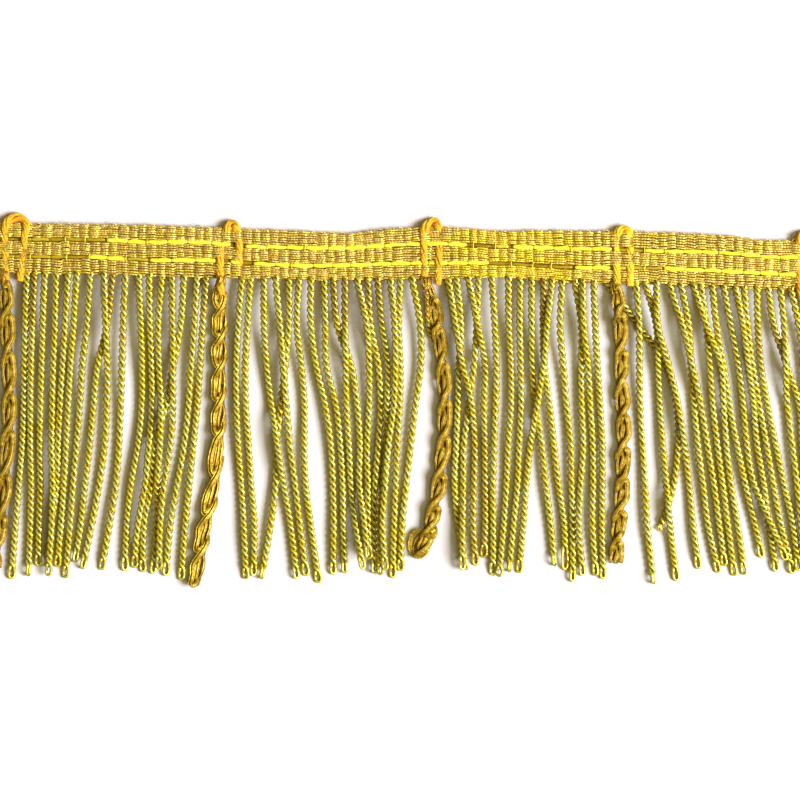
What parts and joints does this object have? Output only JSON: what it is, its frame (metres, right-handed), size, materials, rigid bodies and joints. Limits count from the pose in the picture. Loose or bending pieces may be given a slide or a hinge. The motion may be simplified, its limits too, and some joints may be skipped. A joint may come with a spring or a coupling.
{
  "type": "bullion fringe",
  "caption": "Cut length of metallic gold bullion fringe lying flat: a ribbed woven heading with tinsel lines, twisted looped strands, chain-stitched tassels and yarn ties.",
  "frame": {"origin": "middle of the heading's flat back, on the surface that the fringe lies on", "axes": "+X along the heading, -Y down the fringe from the heading to the loops, +Z out of the face, away from the surface"},
  "size_m": [0.1926, 0.0806, 0.0053],
  "materials": {
    "antique_gold_braid": "woven from metallic thread, antique gold with soft glitter",
    "lemon_tinsel": "flat metallised strip, bright lemon gold",
    "yellow_gold_bullion": "two-ply twisted metallic gimp, yellow gold",
    "orange_gold_gimp": "knotted rayon and metallic gimp, orange gold with a satin sheen",
    "orange_yarn": "soft matt yarn with a few loose hairs"
  },
  "bodies": {
    "root": {"heading": "antique_gold_braid", "tinsel_upper": "lemon_tinsel", "tinsel_lower": "lemon_tinsel", "fringe_skirt": "yellow_gold_bullion", "chain_1": "orange_gold_gimp", "chain_2": "orange_gold_gimp", "chain_3": "orange_gold_gimp", "chain_4": "orange_gold_gimp", "chain_5": "orange_gold_gimp", "tie_1": "orange_yarn", "tie_2": "orange_yarn", "tie_3": "orange_yarn", "tie_4": "orange_yarn", "tie_5": "orange_yarn"}
  },
  "joints": []
}
